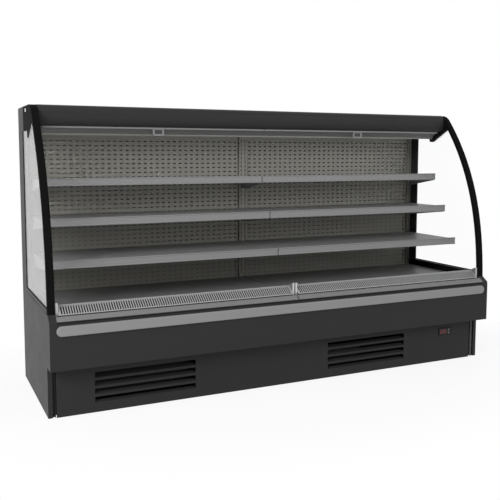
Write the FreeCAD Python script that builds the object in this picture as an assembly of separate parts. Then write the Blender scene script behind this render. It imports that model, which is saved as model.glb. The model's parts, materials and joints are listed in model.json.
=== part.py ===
import FreeCAD, Part
import math
import os

# Semi-vertical refrigerated display case, open at the front, with two bays.
# Millimetres. X runs along the case, -Y is the shopper's side, Z is up.
# The origin is under the middle of the case, on the floor.
# Depths are measured backwards from the front panel's face.
# Rises are measured up from front_height, and drops down from case_height.
# Reaches are measured forwards from the rear of the case.

Vec = FreeCAD.Vector

# Overall
bay_length = 1250.0
end_thickness = 35.0
case_depth = 813.0
case_height = 1473.0
front_height = 470.0
step_height = 244.0
kick_setback = 85.0
bumper_proud = 10.0
sheet = 1.5
fit_gap = 0.3
running_gap = 0.05
overrun = 1.0

# End walls
trim_foot_depth = 41.4
trim_foot_rise = 29.2
glass_foot_rise = 52.0
glass_thickness = 10.0
glass_inset = 3.0
glass_seat = 12.0
post_width = 175.0
post_lip = 7.5
post_rebate = 34.0
gasket_width = 4.0
trim_width = 34.5
trim_depth = 19.0
curve_top_reach = 443.0
curve_top_drop = 33.0
curve_shape = (0.075, 0.486, 0.439)
curve_points = 8
liner_thickness = 2.0
liner_rise = 54.0
liner_height = 84.0
base_groove_inset = 2.0
base_groove = 12.0

# Canopy, with its points as reach and drop
fascia_foot = (404.0, 102.5)
fascia_belly = (422.0, 80.0)
fascia_front = (427.5, 53.0)
fascia_brow = (428.0, 36.0)
brow_run = 38.0
soffit_front = (373.0, 105.5)
soffit_lip_reach = 335.0
soffit_lip_width = 12.0
soffit_lip_drop = 138.0
soffit_rear_reach = 298.0
soffit_drop = 127.0
lip_profile_height = 8.0
lip_chamfer = 2.0
honeycomb_setback = 15.0
honeycomb_width = 75.0
honeycomb_height = 20.0
honeycomb_end_gap = 75.0
honeycomb_rim = 5.0
honeycomb_web = 11.6
honeycomb_cells = 60
bracket_thickness = 10.0
bracket_front = (456.0, 86.0)
bracket_tip = (310.0, 164.0)
bracket_top_reach = 373.0
bracket_brow_gap = 5.0
hanger_front_gap = 31.0
hanger_rear_gap = 10.0

# Night blinds
blind_bar_setback = 11.0
blind_bar_drop = 108.4
blind_bar_width = 14.0
blind_bar_thickness = 9.0
blind_bar_round = 2.0
blind_end_gap = 16.0
blind_middle_gap = 1.5
blind_sheet_thickness = 1.0
blind_sheet_taper = 4.0
roller_setback = 35.0
roller_drop = 64.0
roller_radius = 20.0
roller_pin_radius = 5.0
pin_tip_gap = 1.3
bore_floor = 4.0
handle_width = 60.0
handle_height = 34.0
handle_thickness = 7.0
handle_wall = 8.0
handle_top_wall = 4.0
handle_round = 12.0

# Rear of the display space
back_wall_thickness = 46.5
duct_gap = 50.0
duct_foot_gap = 10.0
upright_width = 25.0
upright_depth = 12.0
upright_wall = 2.0
upright_slot_pitch = 25.0
upright_slot_play = 2.0
upright_slot_lift = 6.0
upright_end_margin = 5.0

# Shelves
deck_space_extra = 30.7
canopy_space_extra = 41.5
top_shelf_reach = 371.0
tier_reach = 100.5
tier_names = ("upper", "middle", "lower")
shelf_end_gap = 8.0
shelf_middle_gap = 2.5
shelf_rear_gap = 4.0
rail_height = 41.0
rail_thickness = 7.0
rail_lip = 8.0
rail_edge = 2.0
rail_bead = 5.0
shelf_flange = 22.0
arm_thickness = 3.0
arm_root = 76.0
arm_nose = 34.0
hook_depth = 9.0
hook_height = 11.0
hook_drop = 18.0
hook_root = 5.0

# Tub, deck, front rails and return grilles
tub_floor_height = 290.0
tub_wall = 40.0
tub_front_wall = 44.5
rail_plate = 5.0
rail_foot_depth = 5.0
rail_top_depth = 30.5
rail_rise = 1.6
rail_split = 6.0
rail_round = 1.5
deck_rise = 17.8
deck_front_depth = 94.0
deck_side_gap = 4.0
deck_rear_gap = 2.0
deck_flange = 12.0
deck_rib_gap = 10.0
support_width = 80.0
support_slots = 18
support_web = 27.7
support_front_margin = 4.0
support_rear_margin = 6.0
support_ledge = 16.0
support_drop = 20.0
grille_foot_depth = 33.5
grille_foot_rise = 25.0
grille_top_depth = 90.0
grille_top_rise = 64.0
grille_plate = 3.0
grille_flange = 14.0
grille_slot_pitch = 12.0
grille_slot_width = 6.6
grille_margin = 6.0
end_plate_width = 11.0
end_plate_rise = 81.0
end_plate_inset = 17.0
end_plate_crest = 6.0
end_plate_brim = 2.0

# Front panel, bumper and kickplate
front_panel_drop = 8.0
bumper_drop = 66.0
bumper_height = 48.5
bumper_end_gap = 31.0
bumper_round = 5.5
front_return_lap = 11.0
kickplate_proud = 9.0
kickplate_foot = 2.0
kickplate_left_gap = 2.0
kickplate_right_gap = 28.0
kickplate_return = 12.0
corner_strip = 8.0
louvre_length = 512.0
louvre_foot = 42.9
louvre_pitch = 40.3
louvre_slots = 4
louvre_opening = 27.3
louvre_reach = 22.0
louvre_lift = 7.0
left_louvre_gap = 184.0
right_louvre_gap = 514.0

# Controller
controller_gap = 216.0
controller_z = 178.0
bezel_length = 90.0
bezel_height = 45.0
bezel_proud = 4.0
bezel_round = 4.0
control_box_length = 80.0
control_box_height = 34.0
control_box_depth = 30.0
control_box_play = 1.0
display_length = 50.0
display_height = 28.0
display_shift = -12.0
display_thickness = 1.5
display_recess = 0.5
button_size = 12.0
button_shift = 27.0
button_pitch = 18.0
button_proud = 1.5
button_depth = 7.5
button_travel = 1.0
button_round = 0.8

# Evaporator and fans
plenum_gap = 2.0
fan_setback = 100.0
fan_radius = 56.0
fan_hub_radius = 17.0
fan_chord = 30.0
fan_tip_gap = 6.0
fan_hub_length = 18.0
fan_hub_cap = 3.0
fan_blades = 5
fan_blade_pitch = 32.0
fan_blade_thickness = 2.0
motor_gap = 14.0
motor_radius = 28.0
motor_length = 40.0
motor_shaft_radius = 3.0
motor_shaft_play = 1.0
motor_legs = 3
leg_width = 8.0
leg_thickness = 4.0
leg_foot = 6.0
leg_margin = 8.0
evaporator_rear_gap = 85.0
evaporator_width = 250.0
evaporator_height = 100.0
evaporator_end_gap = 120.0
evaporator_stand = 14.0
evaporator_core_inset = 16.0
fin_count = 48
fin_thickness = 1.2

# Base and condensing machine
frame_setback = 36.0
frame_rail_width = 60.0
frame_rail_height = 40.0
frame_post_width = 20.0
floor_sheet = 2.0
floor_margin = 1.0
condenser_gap = 7.0
condenser_core = 60.0
condenser_height = 190.0
condenser_core_inset = 8.0
condenser_core_margin = 10.0
condenser_fan_radius = 85.0
condenser_hub_radius = 25.0
condenser_chord = 46.0
shroud_depth = 40.0
shroud_tip_gap = 3.0
compressor_x = -300.0
machine_depth = 450.0
compressor_radius = 88.0
compressor_height = 190.0
compressor_dome = 31.0
compressor_sole = 4.0
compressor_sole_width = 124.0
compressor_foot_height = 12.0
compressor_foot_radius = 9.0
compressor_foot_x = 75.0
compressor_foot_y = 48.0
suction_height = 114.0
suction_run = 60.0
pipe_radius = 6.0
pipe_bend = 24.0
tray_x = 350.0
tray_length = 420.0
tray_width = 360.0
tray_height = 60.0
drain_radius = 16.0
drain_wall = 2.0
drain_dip = 30.0
rear_cover_recess = 22.0
vent_length = 40.0
vent_height = 8.0
vent_pitch = 60.0
vent_columns = 13
vent_rows = 4
vent_row_pitch = 30.0
vent_foot = 120.0
gland_gap = 150.0
gland_z = 150.0
gland_flange_radius = 14.0
gland_flange = 5.0
gland_body_radius = 10.5
gland_bore = 5.6
gland_tip_gap = 2.0

# Worked out from the sizes above
inner_half = bay_length
outer_half = inner_half + end_thickness
front_y = bumper_proud - (case_depth + bumper_proud) / 2.0
back_wall_depth = case_depth - sheet - back_wall_thickness
duct_panel_depth = back_wall_depth - duct_gap
upright_front = duct_panel_depth - upright_depth
post_depth = case_depth - post_width
trim_foot_height = front_height + trim_foot_rise
glass_foot_height = front_height + glass_foot_rise
glass_foot = glass_foot_height - glass_seat
trim_x = outer_half - trim_width
glass_rear = post_depth + post_rebate - gasket_width
glass_x1 = outer_half - glass_inset
glass_x0 = glass_x1 - glass_thickness
curve_top_depth = case_depth - curve_top_reach
curve_run = curve_top_depth - trim_foot_depth
curve_rise = case_height - curve_top_drop - trim_foot_height
chamfer_slope = trim_foot_rise / trim_foot_depth
chamfer_length = math.hypot(trim_foot_depth, trim_foot_rise)
chamfer_normal = (-trim_foot_rise / chamfer_length, trim_foot_depth / chamfer_length)
soffit_height = case_height - soffit_drop
soffit_seat = soffit_height + sheet
soffit_lip_height = case_height - soffit_lip_drop
soffit_lip_depth = case_depth - soffit_lip_reach
soffit_lip_rear = soffit_lip_depth + soffit_lip_width
soffit_rear_depth = case_depth - soffit_rear_reach
honeycomb_depth = soffit_rear_depth + honeycomb_setback
bracket_half = bracket_thickness / 2.0
blind_bar_depth = case_depth - fascia_foot[0] + blind_bar_setback
roller_depth = blind_bar_depth + roller_setback
roller_height = case_height - roller_drop
blind_bar_height = case_height - blind_bar_drop
tub_top = tub_floor_height + tub_wall
tub_front = sheet + tub_front_wall
deck_height = front_height + deck_rise
tier_drop = (soffit_height - deck_height - deck_space_extra - canopy_space_extra) / (len(tier_names) + 1)
top_rail_height = soffit_height - canopy_space_extra - tier_drop
support_top = deck_height - sheet - fit_gap
liner_x = inner_half - liner_thickness
duct_foot = tub_top + evaporator_stand + evaporator_height + duct_foot_gap
slot_width = arm_thickness + upright_slot_play
slot_height = hook_height + upright_slot_lift
kickplate_depth = kick_setback - kickplate_proud
front_return = kick_setback + front_return_lap
plenum_top = deck_height - deck_flange - plenum_gap
left_louvre_x = left_louvre_gap + louvre_length / 2.0 - inner_half
right_louvre_x = inner_half - right_louvre_gap - louvre_length / 2.0
controller_x = inner_half - controller_gap
gland_x = inner_half - gland_gap
evaporator_depth = back_wall_depth - evaporator_rear_gap - evaporator_width
fan_depth = evaporator_depth - fan_setback
fan_x = bay_length / 2.0
fan_height = (tub_top + plenum_top) / 2.0
frame_front = kick_setback + frame_setback
floor_front = frame_front + frame_post_width + floor_margin
floor_height = frame_rail_height + floor_sheet
condenser_depth = floor_front + condenser_gap
shroud_front = condenser_depth + condenser_core
shroud_back = shroud_front + shroud_depth
condenser_fan_height = floor_height + condenser_height / 2.0
cover_back = case_depth - rear_cover_recess
bays = (("left", -1), ("right", 1))

os.makedirs("parts", exist_ok=True)


def at(depth):
    """Depth behind the front panel's face, as a model Y."""
    return front_y + depth


def down(point):
    """A canopy point, given as reach and drop, as depth and height."""
    return case_depth - point[0], case_height - point[1]


def save(name, *solids):
    """Write the solids of one sub-part."""
    shape = solids[0] if len(solids) == 1 else Part.makeCompound(list(solids))
    shape.exportStep("parts/" + name + ".step")


def box(x0, x1, d0, d1, z0, z1):
    """Block between two X values, two depths and two heights."""
    return Part.makeBox(x1 - x0, d1 - d0, z1 - z0, Vec(x0, at(d0), z0))


def prism(outline, x0, x1):
    """Outline of (depth, height) points, drawn out along X."""
    points = [Vec(x0, at(d), z) for d, z in outline]
    wire = Part.makePolygon(points + points[:1])
    return Part.Face(wire).extrude(Vec(x1 - x0, 0, 0))


def rod(x, d, z, radius, length, direction):
    """Round bar from a point, along a direction."""
    return Part.makeCylinder(radius, length, Vec(x, at(d), z), Vec(*direction))


def mirror(shape):
    """The same shape on the other end of the case."""
    return shape.mirror(Vec(0, 0, 0), Vec(1, 0, 0))


def long_edges(shape, length):
    """Edges that run the whole length of a shape along X."""
    return [e for e in shape.Edges if abs(e.BoundBox.XLength - length) < 0.01]


def bay_span(side, gap_middle, gap_end):
    """X range of a bay, less a gap at the middle of the case and one at its end."""
    near = side * gap_middle
    far = side * (inner_half - gap_end)
    return min(near, far), max(near, far)


# The end walls' front curve
def front_curve(share, inset):
    """Point of the trim's curve, moved into the case by inset square to the curve."""
    a, b, c = curve_shape
    depth = trim_foot_depth + curve_run * (a * share + b * share ** 2 + c * share ** 3)
    height = trim_foot_height + curve_rise * share
    slope = 0.0 if share == 0 else curve_run * (a + 2 * b * share + 3 * c * share ** 2) / curve_rise
    size = math.hypot(1.0, slope)
    return depth + inset / size, height - inset * slope / size


def end_outline(inset, foot_height, rear_depth, x):
    """Closed wire round the glazed part of an end wall, set in from the trim's outer line."""
    a, b, c = curve_shape
    turn = math.pi / 2 - math.atan(curve_run * (a + 2 * b + 3 * c) / curve_rise)
    radius = curve_top_drop / (1 - math.cos(turn))
    crown_depth = curve_top_depth + radius * math.sin(turn)
    centre_height = case_height - radius
    foot_lean = curve_run * a / curve_rise
    foot_depth = front_curve(0, inset)[0] + (foot_height - trim_foot_height) * foot_lean
    points = [front_curve(i / curve_points, inset) for i in range(curve_points + 1)]
    points = [(foot_depth, foot_height)] + [p for p in points if p[1] > foot_height + overrun]
    at_x = [Vec(x, at(d), z) for d, z in points]
    curve = Part.BSplineCurve()
    curve.interpolate(at_x)
    arc_mid = Vec(x, at(crown_depth - (radius - inset) * math.sin(turn / 2)),
                  centre_height + (radius - inset) * math.cos(turn / 2))
    crown = Vec(x, at(crown_depth), case_height - inset)
    corner = Vec(x, at(rear_depth), case_height - inset)
    foot = Vec(x, at(rear_depth), foot_height)
    return Part.Wire([curve.toShape(),
                      Part.Arc(at_x[-1], arc_mid, crown).toShape(),
                      Part.makeLine(crown, corner),
                      Part.makeLine(corner, foot),
                      Part.makeLine(foot, at_x[0])])


def end_slab(inset, foot_height, rear_depth, x0, x1):
    """Solid of the glazed outline between two X values."""
    return Part.Face(end_outline(inset, foot_height, rear_depth, x0)).extrude(Vec(x1 - x0, 0, 0))


def gusset(clearance):
    """Block over the canopy's lower line, where an end wall's trim is filled in instead of glazed."""
    nose_depth, nose_height = down(bracket_front)
    tip_depth, tip_height = down(bracket_tip)
    slope = (nose_height - tip_height) / (tip_depth - nose_depth)
    rear = post_depth + post_rebate
    line = [(0, tip_height + tip_depth * slope), (tip_depth, tip_height), (soffit_rear_depth, soffit_seat),
            (rear, soffit_seat)]
    top = case_height + overrun
    outline = [(d, z - clearance) for d, z in line] + [(rear, top), (0, top)]
    return prism(outline, inner_half - overrun, outer_half + overrun)


def make_end_walls():
    """Foamed end panels, trims, glass, the seal at the glass's rear edge and the inner liners."""
    notch = trim_foot_depth + trim_depth + gasket_width
    outline = [(kick_setback, 0), (case_depth, 0), (case_depth, case_height), (post_depth, case_height),
               (post_depth, glass_foot_height), (notch, glass_foot_height), (notch, trim_foot_height),
               (trim_foot_depth, trim_foot_height), (sheet, front_height + sheet * chamfer_slope),
               (sheet, step_height), (kick_setback, step_height)]
    groove = box(glass_x0 - fit_gap, glass_x1 + fit_gap, 0, post_depth + post_rebate, glass_foot,
                 glass_foot_height + overrun)
    rebate = box(inner_half + post_lip, outer_half + overrun, post_depth - overrun,
                 post_depth + post_rebate, glass_foot_height, soffit_seat)
    groove_x = inner_half + base_groove_inset
    corner = box(groove_x, groove_x + base_groove, kick_setback - overrun, kick_setback + base_groove,
                 -overrun, step_height)
    panel = prism(outline, inner_half, outer_half).cut(groove).cut(rebate).cut(corner)
    save("end_panels", mirror(panel), panel)

    frame = end_slab(0, trim_foot_height, post_depth, trim_x, outer_half)
    hollow = end_slab(trim_depth, trim_foot_height - glass_seat, post_depth + glass_seat,
                      inner_half - overrun, outer_half + overrun)
    crown = end_slab(0, trim_foot_height, post_depth, inner_half, outer_half).common(gusset(0))
    trim = frame.cut(hollow).fuse(crown).removeSplitter()
    save("end_trims", trim, mirror(trim))

    glass = end_slab(trim_depth + fit_gap, glass_foot, glass_rear, glass_x0, glass_x1)
    glass = glass.cut(gusset(fit_gap))
    save("end_glasses", mirror(glass), glass)

    seal = box(glass_x0, glass_x1, glass_rear, glass_rear + gasket_width, glass_foot_height,
               soffit_seat - fit_gap)
    save("glass_seals", seal, mirror(seal))

    liner_top = front_height + liner_rise
    liner = box(liner_x, inner_half, tub_front + overrun, upright_front, liner_top - liner_height, liner_top)
    save("end_liners", liner, mirror(liner))


def cover_arc(inset):
    """Ends and quarter arc of the canopy's brow, set in from its outer face."""
    depth, height = down(fascia_brow)
    eighth_cos = math.cos(math.pi / 4)
    x = -inner_half
    start = Vec(x, at(depth + inset), height)
    middle = Vec(x, at(depth + brow_run * (1 - eighth_cos) + inset * eighth_cos),
                 height + (case_height - height) * eighth_cos - inset * eighth_cos)
    end = Vec(x, at(depth + brow_run), case_height - inset)
    return start, Part.Arc(start, middle, end).toShape(), end


def fascia_points(inset):
    """Foot, belly and upper end of the fascia's curve, set in from its outer face."""
    places = [down(point) for point in (fascia_foot, fascia_belly, fascia_front)]
    return [Vec(-inner_half, at(depth + inset), height) for depth, height in places]


def make_cover():
    """Folded sheet over the canopy: curved fascia, round brow and roof."""
    outer_start, outer_arc, outer_end = cover_arc(0)
    inner_start, inner_arc, inner_end = cover_arc(sheet)
    foot_out, belly_out, front_out = fascia_points(0)
    foot_in, belly_in, front_in = fascia_points(sheet)
    rear_out = Vec(-inner_half, at(case_depth), case_height)
    rear_in = Vec(-inner_half, at(case_depth), case_height - sheet)
    wire = Part.Wire([Part.Arc(foot_out, belly_out, front_out).toShape(),
                      Part.makeLine(front_out, outer_start), outer_arc,
                      Part.makeLine(outer_end, rear_out), Part.makeLine(rear_out, rear_in),
                      Part.makeLine(rear_in, inner_end), inner_arc,
                      Part.makeLine(inner_start, front_in),
                      Part.Arc(front_in, belly_in, foot_in).toShape(), Part.makeLine(foot_in, foot_out)])
    save("canopy_cover", Part.Face(wire).extrude(Vec(2 * inner_half, 0, 0)))


def make_soffit():
    """Soffit under the canopy, its lip profile and the honeycomb that straightens the air curtain."""
    x_end = inner_half - bracket_thickness - fit_gap
    comb_x = x_end - honeycomb_end_gap
    comb_rear = honeycomb_depth + honeycomb_width
    under = [down(soffit_front), (soffit_lip_depth, soffit_lip_height), (soffit_lip_rear, soffit_lip_height),
             (soffit_rear_depth, soffit_height), (duct_panel_depth, soffit_height)]
    above = [(d, z + sheet) for d, z in reversed(under)]
    mouth = box(-comb_x, comb_x, honeycomb_depth, comb_rear, soffit_height - overrun,
                soffit_height + sheet + overrun)
    save("canopy_soffit", prism(under + above, -x_end, x_end).cut(mouth))

    lip_foot = soffit_lip_height - lip_profile_height
    lip = [(soffit_lip_depth, soffit_lip_height), (soffit_lip_depth, lip_foot),
           (soffit_lip_rear - lip_chamfer, lip_foot), (soffit_lip_rear, lip_foot + lip_chamfer),
           (soffit_lip_rear, soffit_lip_height)]
    save("canopy_lip", prism(lip, -x_end, x_end))

    comb_top = soffit_height + honeycomb_height
    block = box(-comb_x, comb_x, honeycomb_depth, comb_rear, soffit_height - fit_gap, comb_top)
    pitch = 2 * comb_x / honeycomb_cells
    row_depth = honeycomb_width / 2.0
    cells = []
    for row in range(2):
        d0 = honeycomb_depth + row * row_depth + honeycomb_rim
        for i in range(honeycomb_cells):
            c0 = -comb_x + i * pitch + honeycomb_web / 2
            cells.append(box(c0, c0 + pitch - honeycomb_web, d0, d0 + row_depth - 2 * honeycomb_rim,
                             soffit_height - overrun, comb_top + overrun))
    save("air_honeycomb", block.cut(Part.makeCompound(cells)))


def make_brackets():
    """Plates at both ends and the middle of the canopy, with the bores of the blind rollers."""
    top = case_height - sheet
    brow_depth, brow_height = down(fascia_brow)
    foot_depth, foot_height = down(fascia_foot)
    bore = roller_pin_radius + running_gap
    end_x = inner_half - bracket_thickness
    side = [down(bracket_front), down(bracket_tip), (soffit_rear_depth, soffit_seat),
            (post_depth, soffit_seat), (post_depth, top), (case_depth - bracket_top_reach, top),
            (brow_depth + sheet + bracket_brow_gap, brow_height)]
    fascia_line = [(0, foot_height), (foot_depth, foot_height), (brow_depth, brow_height),
                   (brow_depth, case_height), (0, case_height)]
    ahead = [(d + sheet + fit_gap, z) for d, z in fascia_line]
    end = prism(side, end_x, inner_half)
    end = end.cut(rod(end_x - overrun, roller_depth, roller_height, bore,
                      bracket_thickness - bore_floor + overrun, (1, 0, 0)))
    end = end.cut(prism(ahead, end_x - overrun, inner_half + overrun))

    hanger_front = roller_depth - hanger_front_gap
    hanger_rear = honeycomb_depth - hanger_rear_gap
    front_depth, front_foot = down(soffit_front)
    hanger = [(hanger_front, top), (hanger_front, roller_height), (front_depth, front_foot + sheet),
              (soffit_rear_depth, soffit_seat), (hanger_rear, soffit_seat), (hanger_rear, top)]
    middle = prism(hanger, -bracket_half, bracket_half)
    middle = middle.cut(rod(-bracket_thickness, roller_depth, roller_height, bore,
                            2 * bracket_thickness, (1, 0, 0)))
    save("canopy_brackets", mirror(end), middle, end)


def pull_handle(x_mid, top):
    """D-shaped loop that hangs under a blind's bar."""
    half = handle_width / 2.0
    d0 = blind_bar_depth - handle_thickness / 2.0
    foot = top - handle_height
    loop = box(x_mid - half, x_mid + half, d0, d0 + handle_thickness, foot, top)
    corners = [e for e in loop.Edges if abs(e.BoundBox.YLength - handle_thickness) < 0.01
               and abs(e.CenterOfMass.z - foot) < 0.01]
    gap = box(x_mid - half + handle_wall, x_mid + half - handle_wall, d0 - overrun,
              d0 + handle_thickness + overrun, foot + handle_wall, top - handle_top_wall)
    return loop.makeFillet(handle_round, corners).cut(gap)


def make_blinds():
    """Roller, sheet and pull bar of the night blind of each bay, drawn up."""
    middle_pin = bracket_half + fit_gap - pin_tip_gap
    end_pin = bracket_thickness + fit_gap - bore_floor - pin_tip_gap
    half_width = blind_bar_width / 2.0
    half_height = blind_bar_thickness / 2.0
    bar_foot = blind_bar_height - half_height
    bar_top = blind_bar_height + half_height
    tangent = roller_depth - roller_radius - fit_gap
    for name, side in bays:
        x0, x1 = bay_span(side, bracket_half + fit_gap, bracket_thickness + fit_gap)
        tube = rod(x0, roller_depth, roller_height, roller_radius, x1 - x0, (1, 0, 0))
        low_pin, high_pin = (end_pin, middle_pin) if side < 0 else (middle_pin, end_pin)
        pins = rod(x0 - low_pin, roller_depth, roller_height, roller_pin_radius,
                   x1 - x0 + low_pin + high_pin, (1, 0, 0))
        save("blind_roller_" + name, tube.fuse(pins))

        b0, b1 = bay_span(side, blind_middle_gap, blind_end_gap + bracket_thickness)
        bar = box(b0, b1, blind_bar_depth - half_width, blind_bar_depth + half_width, bar_foot, bar_top)
        bar = bar.makeFillet(blind_bar_round, long_edges(bar, b1 - b0))
        save("blind_bar_" + name, bar, pull_handle(side * bay_length / 2.0, bar_foot))

        half_sheet = blind_sheet_thickness / 2.0
        cloth = [(blind_bar_depth - half_sheet, bar_top), (blind_bar_depth + half_sheet, bar_top),
                 (tangent, roller_height - blind_sheet_taper),
                 (tangent - blind_sheet_thickness, roller_height)]
        c0, c1 = bay_span(side, blind_end_gap, blind_end_gap + bracket_thickness)
        save("blind_sheet_" + name, prism(cloth, c0, c1))


def upright_slot(mid, z):
    """Cut of one hook slot through an upright's face."""
    return box(mid - slot_width / 2, mid + slot_width / 2, upright_front - overrun,
               upright_front + upright_wall + overrun, z - slot_height / 2, z + slot_height / 2)


def make_rear():
    """Foamed back wall, slotted uprights and the duct panels between them."""
    save("back_wall", box(-inner_half, inner_half, back_wall_depth, case_depth - sheet,
                          tub_floor_height, case_height - sheet))
    top_hook = top_rail_height - rail_lip - hook_drop
    hooks = [top_hook - tier * tier_drop for tier in range(len(tier_names))]
    low = duct_foot + upright_end_margin + slot_height / 2
    high = soffit_height - upright_end_margin - slot_height / 2
    count = int((soffit_height - duct_foot) / upright_slot_pitch)
    phase = (top_hook - duct_foot) % upright_slot_pitch
    rungs = [duct_foot + phase + i * upright_slot_pitch for i in range(count)]
    heights = hooks + [z for z in rungs if low < z < high]
    uprights = []
    for x in (-inner_half, -upright_width, 0.0, inner_half - upright_width):
        post = box(x, x + upright_width, upright_front, back_wall_depth, duct_foot, soffit_height)
        post = post.cut(box(x + upright_wall, x + upright_width - upright_wall,
                            upright_front + upright_wall, back_wall_depth + overrun,
                            duct_foot - overrun, soffit_height + overrun))
        slots = [upright_slot(x + upright_width / 2.0, z) for z in heights]
        uprights.append(post.cut(Part.makeCompound(slots)))
    save("shelf_uprights", *uprights)
    spans = [bay_span(side, upright_width, upright_width) for name, side in bays]
    save("duct_panels", *[box(x0, x1, duct_panel_depth, duct_panel_depth + sheet, duct_foot, soffit_height)
                          for x0, x1 in spans])


def shelf_arm(x, front, rear, plate_top):
    """Bracket under a shelf, with the hook that enters its upright."""
    x0 = x - arm_thickness / 2
    x1 = x + arm_thickness / 2
    top = plate_top - sheet - fit_gap
    nose = front + 2 * sheet + fit_gap
    heel = upright_front - fit_gap
    hook_z = plate_top - hook_drop
    plate = prism([(rear - shelf_rear_gap, top), (heel, hook_z), (heel, top - arm_root),
                   (nose, top - arm_nose), (nose, top)], x0, x1)
    hook = box(x0, x1, upright_front - hook_root, upright_front + hook_depth,
               hook_z - hook_height / 2, hook_z + hook_height / 2)
    return plate.fuse(hook).removeSplitter()


def make_shelves():
    """Shelf plates on hooked arms, each with its price rail."""
    for tier, tier_name in enumerate(tier_names):
        rail_top = top_rail_height - tier * tier_drop
        rail_foot = rail_top - rail_height
        rail_front = case_depth - top_shelf_reach - tier * tier_reach
        plate_top = rail_top - rail_lip
        flange_foot = plate_top - shelf_flange
        front = rail_front + rail_thickness
        rear = upright_front - shelf_rear_gap
        groove = rail_front + rail_edge
        rail = [(rail_front, rail_top - rail_edge), (groove, rail_top), (front, rail_top),
                (front, rail_foot), (groove, rail_foot), (rail_front, rail_foot + rail_edge),
                (rail_front, rail_foot + rail_bead), (groove, rail_foot + rail_bead + rail_edge),
                (groove, rail_top - rail_bead - rail_edge), (rail_front, rail_top - rail_bead)]
        for name, side in bays:
            x0, x1 = bay_span(side, shelf_middle_gap, shelf_end_gap)
            plate = box(x0, x1, front, rear, flange_foot, plate_top)
            under = box(x0 + sheet, x1 - sheet, front + sheet, rear - sheet, flange_foot - overrun,
                        plate_top - sheet)
            arm_places = bay_span(side, upright_width / 2, upright_width / 2)
            arms = [shelf_arm(x, front, rear, plate_top) for x in arm_places]
            half_gate = arm_thickness / 2 + fit_gap
            gates = [box(x - half_gate, x + half_gate, rear - 2 * sheet, rear + overrun,
                         flange_foot - overrun, plate_top - sheet) for x in arm_places]
            pan = plate.cut(under).cut(Part.makeCompound(gates))
            save("shelf_" + tier_name + "_" + name, pan, *arms)
            save("price_rail_" + tier_name + "_" + name, prism(rail, x0, x1))


def rail_seat(depth):
    """Height of the sloping top of the tub's front wall, under the front rails."""
    return front_height + depth * chamfer_slope + (rail_rise - rail_plate) / chamfer_normal[1]


def make_tub():
    """Foamed tub with the front rails on its sloping edge and a ledge behind them."""
    front_low = (rail_foot_depth, rail_seat(rail_foot_depth))
    front_high = (rail_top_depth, rail_seat(rail_top_depth))
    outline = [(sheet, step_height + sheet), (tub_front, step_height + sheet), (tub_front, tub_floor_height),
               (back_wall_depth, tub_floor_height), (back_wall_depth, tub_top), (tub_front, tub_top),
               (tub_front, support_top), (rail_top_depth, support_top), front_high,
               (sheet, rail_seat(sheet))]
    save("insulated_tub", prism(outline, -inner_half, inner_half))

    outer_low, outer_high = [(d + chamfer_normal[0] * rail_plate, z + chamfer_normal[1] * rail_plate)
                             for d, z in (front_low, front_high)]
    rails = []
    for name, side in bays:
        x0, x1 = bay_span(side, rail_split / 2, fit_gap)
        rail = prism([front_low, front_high, outer_high, outer_low], x0, x1)
        upper = [e for e in long_edges(rail, x1 - x0) if e.CenterOfMass.z > front_low[1] + fit_gap]
        rails.append(rail.makeFillet(rail_round, upper))
    save("front_rails", *rails)


def make_deck():
    """Slotted front support and rear ledge, with a lift-out pan in each bay."""
    support = box(-liner_x, liner_x, tub_front, tub_front + support_width, support_top - sheet, support_top)
    pitch = 2 * liner_x / support_slots
    slots = []
    for i in range(support_slots):
        s0 = -liner_x + i * pitch + support_web / 2
        slots.append(box(s0, s0 + pitch - support_web, tub_front + support_front_margin,
                         grille_top_depth - support_rear_margin, support_top - sheet - overrun,
                         support_top + overrun))
    ledge_front = upright_front - support_ledge
    ledge = prism([(ledge_front, support_top), (ledge_front, support_top - sheet),
                   (upright_front - sheet, support_top - sheet),
                   (upright_front - sheet, support_top - support_drop),
                   (upright_front, support_top - support_drop), (upright_front, support_top)],
                  -liner_x, liner_x)
    save("deck_supports", support.cut(Part.makeCompound(slots)), ledge)

    for name, side in bays:
        x0, x1 = bay_span(side, deck_side_gap, deck_side_gap)
        pan = box(x0, x1, deck_front_depth, upright_front - deck_rear_gap, deck_height - sheet, deck_height)
        ribs = [box(x, x + sheet, deck_front_depth + support_width, ledge_front - deck_rib_gap,
                    deck_height - deck_flange, deck_height - sheet) for x in (x0, x1 - sheet)]
        save("deck_pan_" + name, pan.fuse(ribs).removeSplitter())


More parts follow.
